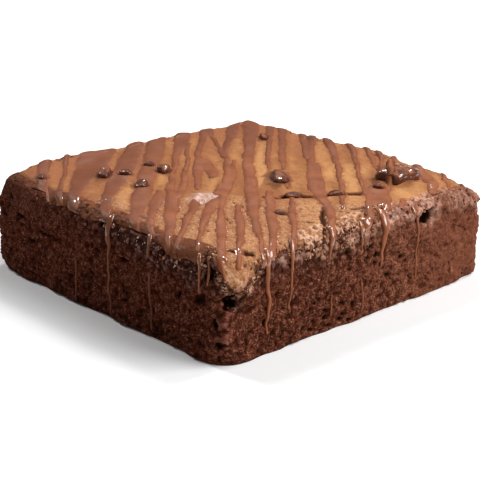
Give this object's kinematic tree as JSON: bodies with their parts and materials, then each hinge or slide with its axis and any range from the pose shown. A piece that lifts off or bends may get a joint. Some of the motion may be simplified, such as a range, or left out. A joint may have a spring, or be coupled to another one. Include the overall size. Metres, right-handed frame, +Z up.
{
  "type": "brookie",
  "caption": "Square bar of fudgy brownie with a cookie layer baked on top, set with chocolate chunks and finished with a drizzle of milk chocolate.",
  "frame": {"origin": "middle of the flat base, under the middle of the bar's outline", "axes": "+Z up through the cookie layer, X and Y along the bar's sides; the cookie hangs lowest over the +X -Y corner"},
  "size_m": [0.087, 0.087, 0.0268],
  "materials": {
    "brownie": "dark moist crumb with pores and a dull cut face",
    "cookie": "golden baked cookie with a light buttery sheen",
    "chocolate": "smooth satin milk chocolate"
  },
  "bodies": {
    "root": {"brownie_base": "brownie", "cookie_layer": "cookie", "chocolate_chunk_01": "chocolate", "chocolate_chunk_02": "chocolate", "chocolate_chunk_03": "chocolate", "chocolate_chunk_04": "chocolate", "chocolate_chunk_05": "chocolate", "chocolate_chunk_06": "chocolate", "chocolate_chunk_07": "chocolate", "chocolate_chunk_08": "chocolate", "chocolate_chunk_09": "chocolate", "chocolate_chunk_10": "chocolate", "chocolate_chunk_11": "chocolate", "chocolate_chunk_12": "chocolate", "chocolate_chunk_13": "chocolate"}
  },
  "joints": []
}
